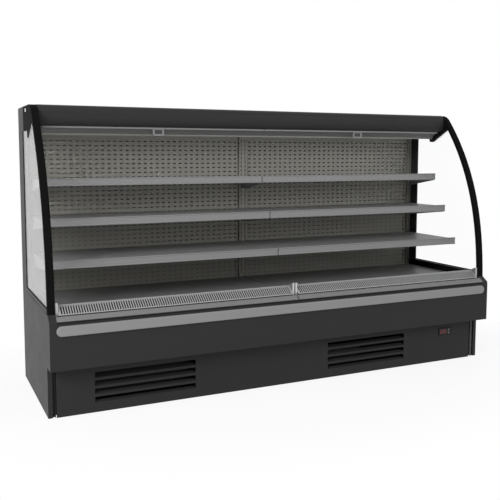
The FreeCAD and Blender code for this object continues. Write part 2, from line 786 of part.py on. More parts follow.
def make_grilles():
    """Return-air grilles: a sloping comb with a rear flange between two raised end plates."""
    foot_z = front_height + grille_foot_rise
    top_z = front_height + grille_top_rise
    run = math.hypot(grille_top_depth - grille_foot_depth, top_z - foot_z)
    along = Vec(0, (grille_top_depth - grille_foot_depth) / run, (top_z - foot_z) / run)
    across = Vec(1, 0, 0)
    crest_z = front_height + end_plate_rise
    plate_front = grille_foot_depth + end_plate_inset
    plate_foot = support_top + fit_gap
    plate_side = [(plate_front, plate_foot), (plate_front, crest_z),
                  (plate_front + end_plate_crest, crest_z), (grille_top_depth, top_z + end_plate_brim),
                  (grille_top_depth, plate_foot)]
    for name, side in bays:
        p0, p1 = bay_span(side, rail_split / 2, liner_thickness + fit_gap)
        x0 = p0 + end_plate_width
        x1 = p1 - end_plate_width
        corner = Vec(x0, at(grille_foot_depth), foot_z)

        def patch(s0, s1, t0, t1):
            places = ((s0, t0), (s1, t0), (s1, t1), (s0, t1))
            points = [corner + across * s + along * t for s, t in places]
            return Part.makePolygon(points + points[:1])

        length = x1 - x0
        count = int((length - 2 * grille_margin) / grille_slot_pitch)
        start = (length - count * grille_slot_pitch + grille_slot_pitch - grille_slot_width) / 2.0
        wires = [patch(0, length, 0, run)]
        for i in range(count):
            s = start + i * grille_slot_pitch
            wires.append(patch(s, s + grille_slot_width, grille_margin, run - grille_margin))
        comb = Part.Face(wires, "Part::FaceMakerBullseye").extrude(across.cross(along) * -grille_plate)
        flange = box(x0, x1, grille_top_depth - grille_plate, grille_top_depth, top_z - grille_flange, top_z)
        save("return_grille_" + name, comb.fuse(flange).removeSplitter())
        save("grille_ends_" + name, prism(plate_side, p0, x0), prism(plate_side, x1, p1))


def make_front():
    """Front panel with its lower return, and the bumper along it."""
    face = box(-outer_half, outer_half, 0, sheet, step_height, front_height - front_panel_drop)
    under = box(-inner_half, inner_half, 0, front_return, step_height, step_height + sheet)
    save("front_panel", face.fuse(under).removeSplitter())

    radius = bumper_height / 2.0
    centre_x = outer_half - bumper_end_gap - radius
    foot = front_height - bumper_drop
    core = box(-centre_x, centre_x, -bumper_proud, 0, foot, foot + bumper_height)
    caps = [rod(x, -bumper_proud, foot + radius, radius, bumper_proud, (0, 1, 0))
            for x in (-centre_x, centre_x)]
    bumper = core.fuse(caps).removeSplitter()
    rim = [e for e in bumper.Edges if abs(e.CenterOfMass.y - at(-bumper_proud)) < 0.01]
    save("bumper", bumper.makeFillet(bumper_round, rim))


def louvre_field(x_mid):
    """Openings of one louvre field, and the sloping blades under them."""
    x0 = x_mid - louvre_length / 2
    x1 = x_mid + louvre_length / 2
    d0 = kickplate_depth
    d1 = d0 + louvre_reach
    openings = []
    blades = []
    for i in range(louvre_slots):
        z0 = louvre_foot + (louvre_pitch - louvre_opening) / 2 + i * louvre_pitch
        openings.append(box(x0, x1, d0 - overrun, d0 + sheet + overrun, z0, z0 + louvre_opening))
        blades.append(prism([(d0, z0 - sheet), (d0, z0), (d1, z0 + louvre_lift + sheet),
                             (d1, z0 + louvre_lift)], x0, x1))
    return openings, blades


def make_kickplate():
    """Kickplate with pressed louvres and the controller's hole, and the sloping strip in the right corner."""
    x0 = -inner_half + kickplate_left_gap
    x1 = inner_half - kickplate_right_gap
    top = step_height - fit_gap
    plate = box(x0, x1, kickplate_depth, kickplate_depth + sheet, kickplate_foot, top)
    edge = box(x1 - sheet, x1, kickplate_depth, kickplate_depth + kickplate_return, kickplate_foot, top)
    half_length = control_box_length / 2 + control_box_play
    half_height = control_box_height / 2 + control_box_play
    cuts = [box(controller_x - half_length, controller_x + half_length, kickplate_depth - overrun,
                kickplate_depth + sheet + overrun, controller_z - half_height, controller_z + half_height)]
    blades = []
    for x_mid in (left_louvre_x, right_louvre_x):
        openings, field_blades = louvre_field(x_mid)
        cuts += openings
        blades += field_blades
    plate = plate.cut(Part.makeCompound(cuts)).fuse([edge] + blades).removeSplitter()
    corner = [(inner_half - corner_strip, kick_setback + corner_strip), (inner_half, kick_setback),
              (inner_half, kick_setback + corner_strip)]
    points = [Vec(x, at(d), kickplate_foot) for x, d in corner]
    strip = Part.Face(Part.makePolygon(points + points[:1])).extrude(Vec(0, 0, top - kickplate_foot))
    save("kickplate", plate, strip)


def make_controller():
    """Bezel with its case behind, the display window and two push buttons."""
    d0 = kickplate_depth - bezel_proud
    bezel = box(controller_x - bezel_length / 2, controller_x + bezel_length / 2, d0, kickplate_depth,
                controller_z - bezel_height / 2, controller_z + bezel_height / 2)
    corners = [e for e in bezel.Edges if e.BoundBox.YLength > bezel_proud / 2]
    case = box(controller_x - control_box_length / 2, controller_x + control_box_length / 2,
               kickplate_depth, kickplate_depth + control_box_depth,
               controller_z - control_box_height / 2, controller_z + control_box_height / 2)
    body = bezel.makeFillet(bezel_round, corners).fuse(case).removeSplitter()

    window_x = controller_x + display_shift
    window = box(window_x - display_length / 2, window_x + display_length / 2, d0 + display_recess,
                 d0 + display_recess + display_thickness, controller_z - display_height / 2,
                 controller_z + display_height / 2)
    save("controller_display", window)
    clearing = box(window_x - display_length / 2, window_x + display_length / 2, d0 - overrun,
                   d0 + display_recess + display_thickness, controller_z - display_height / 2,
                   controller_z + display_height / 2)
    body = body.cut(clearing)

    key_x = controller_x + button_shift
    half = button_size / 2.0
    room = half + fit_gap
    for name, z in (("up", controller_z + button_pitch / 2), ("down", controller_z - button_pitch / 2)):
        well = box(key_x - room, key_x + room, d0 - overrun, d0 + button_depth + button_travel,
                   z - room, z + room)
        body = body.cut(well)
        key = box(key_x - half, key_x + half, d0 - button_proud, d0 + button_depth, z - half, z + half)
        face = [e for e in key.Edges if abs(e.CenterOfMass.y - at(d0 - button_proud)) < 0.01]
        save("controller_button_" + name, key.makeFillet(button_round, face))
    save("controller_body", body)


def fan_rotor(x, depth, z, radius, hub_radius, chord):
    """Hub with pitched blades, bored for its motor shaft, turning about Y."""
    front = depth - fan_hub_length / 2
    root = hub_radius / 2.0
    blades = []
    for i in range(fan_blades):
        blade = Part.makeBox(radius - root, fan_blade_thickness, chord,
                             Vec(root, -fan_blade_thickness / 2, -chord / 2))
        blade.rotate(Vec(0, 0, 0), Vec(1, 0, 0), fan_blade_pitch)
        blade.rotate(Vec(0, 0, 0), Vec(0, 1, 0), i * 360.0 / fan_blades)
        blade.translate(Vec(x, at(depth), z))
        blades.append(blade)
    rotor = rod(x, front, z, hub_radius, fan_hub_length, (0, 1, 0)).fuse(blades)
    sweep = rod(x, depth - chord, z, radius, 2 * chord, (0, 1, 0))
    bore = rod(x, front + fan_hub_cap, z, motor_shaft_radius + running_gap, fan_hub_length, (0, 1, 0))
    return rotor.common(sweep).cut(bore)


def fan_motor(x, depth, z, hole_radius, plate_depth):
    """Motor behind a rotor, on legs that stand round the hole in the fan's plate."""
    back = depth + fan_hub_length / 2 + motor_gap
    shaft_front = depth - fan_hub_length / 2 + fan_hub_cap + motor_shaft_play
    can = rod(x, back, z, motor_radius, motor_length, (0, 1, 0))
    shaft = rod(x, shaft_front, z, motor_shaft_radius, back - shaft_front, (0, 1, 0))
    reach = hole_radius + leg_margin
    legs = []
    for i in range(motor_legs):
        arm = Part.makeBox(reach, leg_thickness, leg_width, Vec(0, 0, -leg_width / 2))
        foot = Part.makeBox(leg_foot, back - plate_depth + leg_thickness, leg_width,
                            Vec(reach - leg_foot, plate_depth - back, -leg_width / 2))
        leg = arm.fuse(foot)
        leg.rotate(Vec(0, 0, 0), Vec(0, 1, 0), i * 360.0 / motor_legs - 90.0)
        leg.translate(Vec(x, at(back), z))
        legs.append(leg)
    return can.fuse([shaft] + legs).removeSplitter()


def condenser_shroud():
    """Open box between the condenser and its fan."""
    wide = louvre_length / 2 + fin_thickness / 2
    top = floor_height + condenser_height
    shroud = box(left_louvre_x - wide, left_louvre_x + wide, shroud_front, shroud_back, floor_height, top)
    inside = box(left_louvre_x - wide + sheet, left_louvre_x + wide - sheet, shroud_front - overrun,
                 shroud_back - sheet, floor_height + sheet, top - sheet)
    hole = rod(left_louvre_x, shroud_back - sheet - overrun, condenser_fan_height,
               condenser_fan_radius + shroud_tip_gap, sheet + 2 * overrun, (0, 1, 0))
    return shroud.cut(inside).cut(hole)


def make_fans():
    """Sheets that the fans stand in, the evaporator's fans, the condenser's fan and their motors."""
    plate_front = fan_depth - sheet / 2
    plate_back = plate_front + sheet
    hole_radius = fan_radius + fan_tip_gap
    plate = box(-liner_x, liner_x, plate_front, plate_back, tub_top, plenum_top)
    holes = [rod(side * fan_x, plate_front - overrun, fan_height, hole_radius, sheet + 2 * overrun, (0, 1, 0))
             for name, side in bays]
    save("fan_shrouds", plate.cut(Part.makeCompound(holes)), condenser_shroud())
    motors = []
    for name, side in bays:
        rotor = fan_rotor(side * fan_x, fan_depth, fan_height, fan_radius, fan_hub_radius, fan_chord)
        save("evaporator_fan_" + name, rotor)
        motors.append(fan_motor(side * fan_x, fan_depth, fan_height, hole_radius, plate_back))
    save("condenser_fan", fan_rotor(left_louvre_x, shroud_back, condenser_fan_height, condenser_fan_radius,
                                    condenser_hub_radius, condenser_chord))
    motors.append(fan_motor(left_louvre_x, shroud_back, condenser_fan_height,
                            condenser_fan_radius + shroud_tip_gap - leg_margin + leg_foot, shroud_back))
    save("fan_motors", *motors)


def fin_row(x_mid, half, d0, d1, z0, z1):
    """Row of upright fins along X."""
    pitch = 2 * half / (fin_count - 1)
    places = [x_mid - half + i * pitch for i in range(fin_count)]
    return [box(x - fin_thickness / 2, x + fin_thickness / 2, d0, d1, z0, z1) for x in places]


def make_evaporator():
    """Fin pack under the deck, standing on its end and middle fins."""
    half = inner_half - evaporator_end_gap
    rear = evaporator_depth + evaporator_width
    z0 = tub_top + evaporator_stand
    z1 = z0 + evaporator_height
    inset = evaporator_core_inset
    core = box(-half, half, evaporator_depth + inset, rear - inset, z0 + inset, z1 - inset)
    fins = fin_row(0.0, half, evaporator_depth, rear, z0, z1)
    stands = [box(x - fin_thickness / 2, x + fin_thickness / 2, evaporator_depth, rear, tub_top, z1)
              for x in (-half, half)]
    save("evaporator", core.fuse(fins + stands).removeSplitter())


def make_base():
    """Rails, cross rails and posts of the welded base frame, and the floor sheet on it."""
    rear_rail = cover_back - sheet - frame_rail_width
    rails = [box(-inner_half, inner_half, d, d + frame_rail_width, 0, frame_rail_height)
             for d in (frame_front, rear_rail)]
    cross = [box(x, x + frame_rail_width, frame_front + frame_rail_width, rear_rail, 0, frame_rail_height)
             for x in (-inner_half, -frame_rail_width / 2, inner_half - frame_rail_width)]
    posts = []
    for x in (-inner_half, -frame_post_width / 2, inner_half - frame_post_width):
        for d, width in ((rear_rail, frame_rail_width), (frame_front, frame_post_width)):
            posts.append(box(x, x + frame_post_width, d, d + width, frame_rail_height, tub_floor_height))
    floor_x = inner_half - frame_post_width - floor_margin
    floor = box(-floor_x, floor_x, floor_front, rear_rail - floor_margin, frame_rail_height, floor_height)
    save("base_frame", *rails, *cross, *posts, floor)


def make_condenser():
    """Condenser fin pack behind the left louvres."""
    half = louvre_length / 2
    top = floor_height + condenser_height
    core = box(left_louvre_x - half, left_louvre_x + half, condenser_depth + condenser_core_inset,
               shroud_front - condenser_core_inset, floor_height + condenser_core_margin,
               top - condenser_core_margin)
    fins = fin_row(left_louvre_x, half, condenser_depth, shroud_front, floor_height, top)
    save("condenser", core.fuse(fins))


def suction_pipe(z):
    """Pipe from the compressor's side, turned up to the tub's floor."""
    y = at(machine_depth)
    start = Vec(compressor_x + compressor_radius + fit_gap, y, z)
    riser_x = start.x + suction_run
    bend_start = Vec(riser_x - pipe_bend, y, z)
    bend_end = Vec(riser_x, y, z + pipe_bend)
    bend_share = pipe_bend * math.cos(math.pi / 4)
    bend_middle = Vec(bend_start.x + bend_share, y, bend_end.z - bend_share)
    path = Part.Wire([Part.makeLine(start, bend_start),
                      Part.Arc(bend_start, bend_middle, bend_end).toShape(),
                      Part.makeLine(bend_end, Vec(riser_x, y, tub_floor_height))])
    ring = Part.Wire(Part.makeCircle(pipe_radius, start, Vec(1, 0, 0)))
    return path.makePipeShell([ring], True, False)


def make_machine():
    """Compressor with its pipe, and the evaporation tray under the drain."""
    sole_foot = floor_height + compressor_foot_height
    can_foot = sole_foot + compressor_sole
    y = at(machine_depth)
    can = Part.makeCylinder(compressor_radius, compressor_height, Vec(compressor_x, y, can_foot))
    crown = [e for e in can.Edges if abs(e.CenterOfMass.z - can_foot - compressor_height) < 0.01]
    can = can.makeFillet(compressor_dome, crown)
    sole = box(compressor_x - compressor_radius, compressor_x + compressor_radius,
               machine_depth - compressor_sole_width / 2, machine_depth + compressor_sole_width / 2,
               sole_foot, can_foot)
    feet = [rod(compressor_x + i * compressor_foot_x, machine_depth + j * compressor_foot_y, floor_height,
                compressor_foot_radius, compressor_foot_height, (0, 0, 1)) for i in (-1, 1) for j in (-1, 1)]
    save("compressor", can.fuse([sole] + feet).removeSplitter())

    t0 = tray_x - tray_length / 2
    t1 = tray_x + tray_length / 2
    d0 = machine_depth - tray_width / 2
    d1 = machine_depth + tray_width / 2
    tray_top = floor_height + tray_height
    tray = box(t0, t1, d0, d1, floor_height, tray_top)
    tray = tray.cut(box(t0 + sheet, t1 - sheet, d0 + sheet, d1 - sheet, floor_height + sheet,
                        tray_top + overrun))
    save("evaporation_tray", tray)

    drain_foot = tray_top - drain_dip
    drain_length = tub_floor_height - drain_foot
    drain = rod(tray_x, machine_depth, drain_foot, drain_radius, drain_length, (0, 0, 1))
    drain = drain.cut(rod(tray_x, machine_depth, drain_foot - overrun, drain_radius - drain_wall,
                          drain_length + 2 * overrun, (0, 0, 1)))
    save("pipes", drain, suction_pipe(can_foot + suction_height))


def make_rear_cover():
    """Vented cover behind the machine, and the gland of the mains lead."""
    cover = box(-inner_half, inner_half, cover_back - sheet, cover_back, frame_rail_height, tub_floor_height)
    first_x = left_louvre_x - (vent_columns - 1) * vent_pitch / 2 - vent_length / 2
    vents = []
    for i in range(vent_columns):
        for j in range(vent_rows):
            x = first_x + i * vent_pitch
            z = vent_foot + j * vent_row_pitch
            vents.append(box(x, x + vent_length, cover_back - sheet - overrun, cover_back + overrun,
                             z, z + vent_height))
    save("rear_cover", cover.cut(Part.makeCompound(vents)))

    flange = rod(gland_x, cover_back, gland_z, gland_flange_radius, gland_flange, (0, 1, 0))
    neck = rod(gland_x, cover_back, gland_z, gland_body_radius, rear_cover_recess - gland_tip_gap, (0, 1, 0))
    bore = rod(gland_x, cover_back - overrun, gland_z, gland_bore, rear_cover_recess + overrun, (0, 1, 0))
    save("mains_gland", flange.fuse(neck).cut(bore).removeSplitter())


make_end_walls()
make_cover()
make_soffit()
make_brackets()
make_blinds()
make_rear()
make_shelves()
make_tub()
make_deck()
make_grilles()
make_front()
make_kickplate()
make_controller()
make_fans()
make_evaporator()
make_base()
make_condenser()
make_machine()
make_rear_cover()
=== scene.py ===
# %% [markdown]
# # A refrigerated display case, dressed for its picture
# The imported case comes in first, as a fixed frame in metres: +X runs along the case, -Y faces
# the shopper, +Z is up. Everything below only adds finishes, a few finer meshes, a camera and
# light.

# %% Load the case
import json
import math

import bmesh
import bpy
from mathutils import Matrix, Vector


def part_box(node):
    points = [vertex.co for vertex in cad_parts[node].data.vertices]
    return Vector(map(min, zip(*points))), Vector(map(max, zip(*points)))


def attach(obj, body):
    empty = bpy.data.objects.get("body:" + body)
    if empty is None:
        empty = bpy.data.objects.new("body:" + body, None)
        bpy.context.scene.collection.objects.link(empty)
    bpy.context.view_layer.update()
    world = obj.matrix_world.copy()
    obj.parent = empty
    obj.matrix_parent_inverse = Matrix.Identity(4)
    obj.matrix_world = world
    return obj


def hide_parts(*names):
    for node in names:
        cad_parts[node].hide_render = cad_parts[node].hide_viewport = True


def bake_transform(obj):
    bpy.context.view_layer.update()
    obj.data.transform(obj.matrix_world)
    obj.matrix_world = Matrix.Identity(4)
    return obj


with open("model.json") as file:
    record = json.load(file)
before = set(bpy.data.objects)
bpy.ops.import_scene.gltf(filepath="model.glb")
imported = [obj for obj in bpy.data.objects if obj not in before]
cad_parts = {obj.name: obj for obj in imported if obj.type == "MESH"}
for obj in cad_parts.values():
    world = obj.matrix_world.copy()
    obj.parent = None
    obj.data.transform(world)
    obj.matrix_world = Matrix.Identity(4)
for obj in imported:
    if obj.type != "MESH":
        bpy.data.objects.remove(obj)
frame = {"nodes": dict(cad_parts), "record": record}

scene = bpy.context.scene
nodes = frame["nodes"]
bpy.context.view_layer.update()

# %% [markdown]
# ## The camera
# The picture was taken from the left of the case, at about eye height. Its place, its turn and
# its long lens were worked out from the straight edges of the case, so they are written down as
# measured. The lens is shifted a little because the picture was cropped off-centre.

# %% Camera
picture_size = 500.0
focal_pixels = 719.37
centre_pixel = (241.91, 222.02)
camera_place = Vector((-1.8272, -3.6473, 1.2231))
camera_yaw = math.radians(24.735)
camera_pitch = math.radians(5.296)

lens = bpy.data.cameras.new("camera")
lens.sensor_width = 36.0
lens.lens = focal_pixels * lens.sensor_width / picture_size
lens.shift_x = (picture_size / 2 - centre_pixel[0]) / picture_size
lens.shift_y = (centre_pixel[1] - picture_size / 2) / picture_size
camera = bpy.data.objects.new("camera", lens)
camera.location = camera_place
camera.rotation_euler = (math.pi / 2 - camera_pitch, 0.0, -camera_yaw)
scene.collection.objects.link(camera)
scene.camera = camera
print("lens", round(lens.lens, 1), "mm")

# %% [markdown]
# ## Sums with sockets
# A finish is a small sum of noises, waves and masks. Writing it as a Python expression is easier
# to read than a list of links, so a socket is wrapped in a class that knows plus, minus, times
# and so on. Every other node comes from one method, which serves the finishes, the floor and the
# world alike.

# %% Socket class
class Socket:
    """A node's output that takes part in Python sums."""

    def __init__(self, nodes, output):
        self.nodes = nodes
        self.output = output

    def math(self, operation, first, second):
        return self.nodes.node("ShaderNodeMath", {"operation": operation}, {0: first, 1: second})

    def __add__(self, other):
        return self.math("ADD", self, other)

    def __sub__(self, other):
        return self.math("SUBTRACT", self, other)

    def __rsub__(self, other):
        return self.math("SUBTRACT", other, self)

    def __mul__(self, other):
        return self.math("MULTIPLY", self, other)

    def __truediv__(self, other):
        return self.math("DIVIDE", self, other)

    def __rtruediv__(self, other):
        return self.math("DIVIDE", other, self)

    def larger(self, other):
        return self.math("MAXIMUM", self, other)

    __radd__ = __add__
    __rmul__ = __mul__


# %% Node tree class
class Nodes:
    """A node tree, and the method that adds any node to it."""

    def __init__(self, tree):
        self.tree = tree

    def node(self, kind, settings=None, inputs=None, output=0):
        made = self.tree.nodes.new(kind)
        for name, value in (settings or {}).items():
            setattr(made, name, value)
        for name, value in (inputs or {}).items():
            self.feed(made.inputs[name], value)
        return Socket(self, made.outputs[output])

    def feed(self, socket, value):
        if isinstance(value, Socket):
            self.tree.links.new(value.output, socket)
        else:
            socket.default_value = value


# %% [markdown]
# A finish is a node tree with a Principled shader in it. The class below adds short names for the
# few patterns that the finishes share. Each pattern reads a point's place in metres, so a grain
# keeps its real size on a large panel and on a small key.

# %% Finish class
class Finish(Nodes):
    """One material: a Principled shader, and the nodes that feed it."""

    def __init__(self, name):
        self.material = bpy.data.materials.new(name)
        self.material.use_nodes = True
        super().__init__(self.material.node_tree)
        self.shader = self.tree.nodes["Principled BSDF"]

    def set(self, **values):
        """Feed the shader's own sockets, named with _ for a space."""
        for name, value in values.items():
            self.feed(self.shader.inputs[name.replace("_", " ")], value)
        return self.material

    def place(self, stretch=(1.0, 1.0, 1.0)):
        """Where a point of the piece is, in metres, stretched along each axis."""
        where = self.node("ShaderNodeTexCoord", output="Object")
        return self.node("ShaderNodeVectorMath", {"operation": "MULTIPLY"}, {0: where, 1: stretch})

    def axis(self, name):
        """One coordinate of a point, in metres."""
        return self.node("ShaderNodeSeparateXYZ", None, {0: self.place()}, output=name)

    def noise(self, scale, detail=3.0, stretch=(1.0, 1.0, 1.0)):
        """Soft noise from 0 to 1, with a scale in lumps per metre."""
        return self.node("ShaderNodeTexNoise", None,
                         {"Vector": self.place(stretch), "Scale": scale, "Detail": detail})

    def wave(self, axis, scale, distortion):
        """Bands across one axis, from 0 to 1."""
        return self.node("ShaderNodeTexWave", {"bands_direction": axis},
                         {"Vector": self.place(), "Scale": scale, "Distortion": distortion})

    def cells(self, scale, output):
        """Small flat cells: the distance from the middle of one, or a colour for each."""
        return self.node("ShaderNodeTexVoronoi", None,
                         {"Vector": self.place(), "Scale": scale}, output=output)

    def mix(self, share, first, second):
        """Colour between two colours."""
        return self.node("ShaderNodeMix", {"data_type": "RGBA"},
                         {0: share, 6: (*first, 1.0), 7: (*second, 1.0)}, output=2)

    def tones(self, share, colour, dark, light):
        """Colour between a darker and a lighter tone of one colour."""
        first, second = [[c * factor for c in colour] for factor in (dark, light)]
        return self.mix(share, first, second)

    def around(self, level, *parts):
        """Level with patterns added to it, each given with the width of its swing."""
        half = sum(width for _, width in parts) / 2
        return sum((pattern * width for pattern, width in parts), level - half)

    def ramp(self, value, low, high):
        """0 below low, 1 above high and even between them."""
        return self.node("ShaderNodeMapRange", None, {0: value, 1: low, 2: high})

    def bump(self, height, depth):
        """Fine relief, as a normal, from a height between 0 and 1 and a depth in metres."""
        return self.node("ShaderNodeBump", None, {"Height": height, "Distance": depth})


print("socket sums are ready")

# %% [markdown]
# ## Painted sheet
# The outside is powder-coated steel: satin, with a fine orange peel about a millimetre across and
# very slow changes of tone. The peel is a bump, because it is far too fine to model. A second,
# larger noise moves the gloss a little, as hands and cleaning cloths do. The record names one
# material slot for each node, so every finish is kept under the name of the slot that it serves.

# %% Painted sheet finish
finishes = {}
quiet_gloss = 0.1


def painted_sheet(name, colour, roughness, gloss=0.3):
    finish = Finish(name)
    cloud = finish.noise(2.2, detail=2.0)
    wipe = finish.noise(9.0, detail=4.0, stretch=(0.4, 1.0, 1.6))
    grain = finish.noise(900.0, detail=2.0)
    return finish.set(Base_Color=finish.tones(cloud * 0.6 + wipe * 0.4, colour, 0.9, 1.1),
                      Roughness=finish.around(roughness, (wipe, 0.12), (grain, 0.05)),
                      Normal=finish.bump(grain, depth=0.00006),
                      Specular_IOR_Level=gloss)


def make_finishes(kind, table):
    """One finish of a kind for each row of a table, kept by its name."""
    for name, values in table.items():
        finishes[name] = kind(name, *values)
    print(kind.__name__, "for", ", ".join(table))


# Each row: colour, roughness and gloss.
make_finishes(painted_sheet, {
    "charcoal_paint": ((0.028, 0.028, 0.0285), 0.45, 0.085),
    "dark_profile": ((0.142, 0.146, 0.141), 0.45, quiet_gloss),
    "warm_grey_paint": ((0.29, 0.284, 0.255), 0.45),
    "foam_wall": ((0.2, 0.2, 0.2), 0.5),
    "shelf_paint": ((0.19, 0.19, 0.19), 0.45),
    "deck_paint": ((0.18, 0.18, 0.18), 0.45),
    "compressor_black": ((0.011, 0.011, 0.011), 0.35, quiet_gloss),
})

# %% [markdown]
# ## Plastic profiles
# The canopy's lip, the blind bars, the price rails, the front rails and the bumper are extruded
# plastic. An extrusion shows faint draw lines along its length, so the noise is stretched along X
# until it becomes streaks.

# %% Drawn plastic finish
def drawn_plastic(name, colour, roughness):
    finish = Finish(name)
    lines = finish.noise(60.0, stretch=(0.02, 6.0, 6.0))
    cloud = finish.noise(3.0, detail=2.0)
    fine = finish.noise(1400.0, detail=1.0)
    return finish.set(Base_Color=finish.tones(lines * 0.5 + cloud * 0.5, colour, 0.92, 1.08),
                      Roughness=finish.around(roughness, (lines, 0.1), (fine, 0.06)),
                      Normal=finish.bump(lines * 0.6 + fine * 0.4, depth=0.00004),
                      Specular_IOR_Level=0.4)


# Each row: colour and roughness.
make_finishes(drawn_plastic, {
    "lip_grey": ((0.215, 0.215, 0.2), 0.45),
    "bar_grey": ((0.19, 0.19, 0.19), 0.42),
    "rail_grey": ((0.205, 0.205, 0.207), 0.42),
    "front_rail_grey": ((0.176, 0.176, 0.178), 0.42),
    "bumper_grey": ((0.222, 0.222, 0.226), 0.38),
})

# %% [markdown]
# Moulded plastic and rubber are grained instead: trims, seals, the controller and the fans. The
# distance to the middle of a small Voronoi cell gives the round pebbles of such a grain, which a
# soft noise would not.

# %% Grained plastic finish
def grained_plastic(name, colour, roughness, gloss=0.35, grain=1100.0):
    finish = Finish(name)
    pebble = finish.cells(grain, "Distance")
    cloud = finish.noise(6.0)
    return finish.set(Base_Color=finish.tones(cloud, colour, 0.85, 1.15),
                      Roughness=finish.around(roughness, (pebble, 0.1), (cloud, 0.08)),
                      Normal=finish.bump(pebble, depth=0.00005),
                      Specular_IOR_Level=gloss)


# Each row: colour, roughness, gloss and grains per metre.
make_finishes(grained_plastic, {
    "black_trim": ((0.0065, 0.0065, 0.0065), 0.55, 0.008),
    "seal_rubber": ((0.014, 0.014, 0.015), 0.7, 0.2, 800.0),
    "honeycomb_plastic": ((0.05, 0.05, 0.05), 0.6),
    "tub_liner": ((0.012, 0.012, 0.012), 0.6, quiet_gloss),
    "controller_plastic": ((0.018, 0.018, 0.018), 0.4, quiet_gloss),
    "button_grey": ((0.12, 0.12, 0.12), 0.45),
    "fan_black": ((0.02, 0.02, 0.02), 0.45),
    "gland_black": ((0.015, 0.015, 0.015), 0.5),
})

# %% [markdown]
# ## Bare metal
# The rollers of the blinds are aluminium tube with fine lines along X. The return grille is
# pressed sheet with a softer sheen. The galvanised machine cover and shrouds show their zinc
# spangle, and a Voronoi pattern with one colour for each cell gives that well.

# %% Metal finishes
def brushed_metal(name, colour, roughness, metallic=1.0):
    finish = Finish(name)
    lines = finish.noise(220.0, detail=4.0, stretch=(0.01, 4.0, 4.0))
    stain = finish.noise(7.0)
    return finish.set(Base_Color=finish.tones(lines * 0.7 + stain * 0.3, colour, 0.86, 1.1),
                      Roughness=finish.around(roughness, (lines, 0.16), (stain, 0.06)),
                      Normal=finish.bump(lines, depth=0.00003),
                      Metallic=metallic)


def zinc_sheet(name, colour):
    finish = Finish(name)
    spangle = finish.node("ShaderNodeSeparateColor", None, {0: finish.cells(70.0, "Color")})
    stain = finish.noise(5.0, detail=4.0)
    return finish.set(Base_Color=finish.tones(spangle * 0.7 + stain * 0.3, colour, 0.78, 1.1),
                      Roughness=finish.around(0.45, (spangle, 0.22)),
                      Normal=finish.bump(stain, depth=0.00008),
                      Metallic=0.85)


# Each row: colour, roughness and share of bare metal.
make_finishes(brushed_metal, {
    "aluminium_profile": ((0.48, 0.48, 0.47), 0.36),
    "grille_metal": ((0.36, 0.365, 0.362), 0.45, 0.3),
})
make_finishes(zinc_sheet, {"galvanised": ((0.45, 0.46, 0.47),)})

# %% [markdown]
# The cooling machine adds two more metals: thin rippled fins and copper pipe. They are hardly
# seen, so one noise for the stains and, on the fins, one wave for the ripple are enough.

# %% Fin and pipe finishes
def fin_pack(name, colour):
    finish = Finish(name)
    ripple = finish.wave("Z", 40.0, distortion=1.0)
    stain = finish.noise(20.0)
    return finish.set(Base_Color=finish.tones(stain, colour, 0.7, 1.1),
                      Roughness=finish.around(0.4, (stain, 0.2)),
                      Normal=finish.bump(ripple, depth=0.0004),
                      Metallic=0.9)


def copper_pipe(name, tarnished, bright):
    finish = Finish(name)
    tarnish = finish.noise(30.0, detail=4.0)
    return finish.set(Base_Color=finish.mix(tarnish, tarnished, bright),
                      Roughness=finish.around(0.375, (tarnish, 0.25)),
                      Metallic=1.0)


make_finishes(fin_pack, {"fin_aluminium": ((0.6, 0.61, 0.62),)})
make_finishes(copper_pipe, {"pipe_copper": ((0.34, 0.15, 0.08), (0.62, 0.3, 0.18))})

# %% [markdown]
# ## Glass and fabric
# The end glass is clear, with a thin anti-glare coat, so it hardly shows when it is seen squarely
# and turns pale where it is seen at a shallow angle. A low index of refraction does what the coat
# does. The night blind is a thin woven cloth: two crossed waves give warp and weft.

# %% Glass finish
def clear_glass(name):
    finish = Finish(name)
    smear = finish.noise(4.0, detail=4.0, stretch=(1.0, 1.0, 0.5))
    return finish.set(Base_Color=(0.992, 0.998, 0.995, 1.0),
                      Roughness=finish.ramp(smear, 0.5, 0.9) * 0.03,
                      Transmission_Weight=1.0,
                      IOR=1.2)


make_finishes(clear_glass, {"clear_glass": ()})

# %% Fabric finish
def woven_cloth(name, colour):
    finish = Finish(name)
    warp, weft = [finish.wave(axis, 260.0, distortion=0.4) for axis in ("X", "Z")]
    weave = warp * 0.5 + weft * 0.5
    cloud = finish.noise(12.0)
    return finish.set(Base_Color=finish.tones(weave * 0.7 + cloud * 0.3, colour, 0.75, 1.1),
                      Roughness=finish.around(0.7, (weave, 0.2)),
                      Normal=finish.bump(weave, depth=0.0003),
                      Sheen_Weight=0.3)


make_finishes(woven_cloth, {"blind_fabric": ((0.5, 0.51, 0.52),)})

# %% [markdown]
# ## Display window and end plates
# The window of the temperature display is smoked red plastic, almost black. The end plates of the
# return grilles are grey mouldings. Every face of a plate that looks towards the shopper is
# painted
# pale: a painted highlight, picked out by the direction that the face looks in.

# %% Window and end plate finishes
def display_window(name, deep, shallow):
    finish = Finish(name)
    depth = finish.noise(400.0, detail=2.0)
    return finish.set(Base_Color=finish.mix(depth, deep, shallow),
                      Roughness=finish.around(0.145, (depth, 0.05)),
                      Specular_IOR_Level=0.4)


def front_highlight_plate(name, colour, highlight_colour):
    finish = Finish(name)
    facing = finish.node("ShaderNodeNewGeometry", output="Normal")
    forward = finish.node("ShaderNodeSeparateXYZ", None, {0: facing}, output="Y") * -1.0
    speck = finish.noise(500.0)
    # Painted highlight: faces that look towards the shopper turn pale.
    painted_highlight_mask = finish.ramp(forward, 0.6, 0.7)
    return finish.set(Base_Color=finish.mix(painted_highlight_mask * (speck * 0.06 + 0.94), colour, highlight_colour),
                      Roughness=finish.around(0.41, (speck, 0.1)),
                      Normal=finish.bump(speck, depth=0.00004))


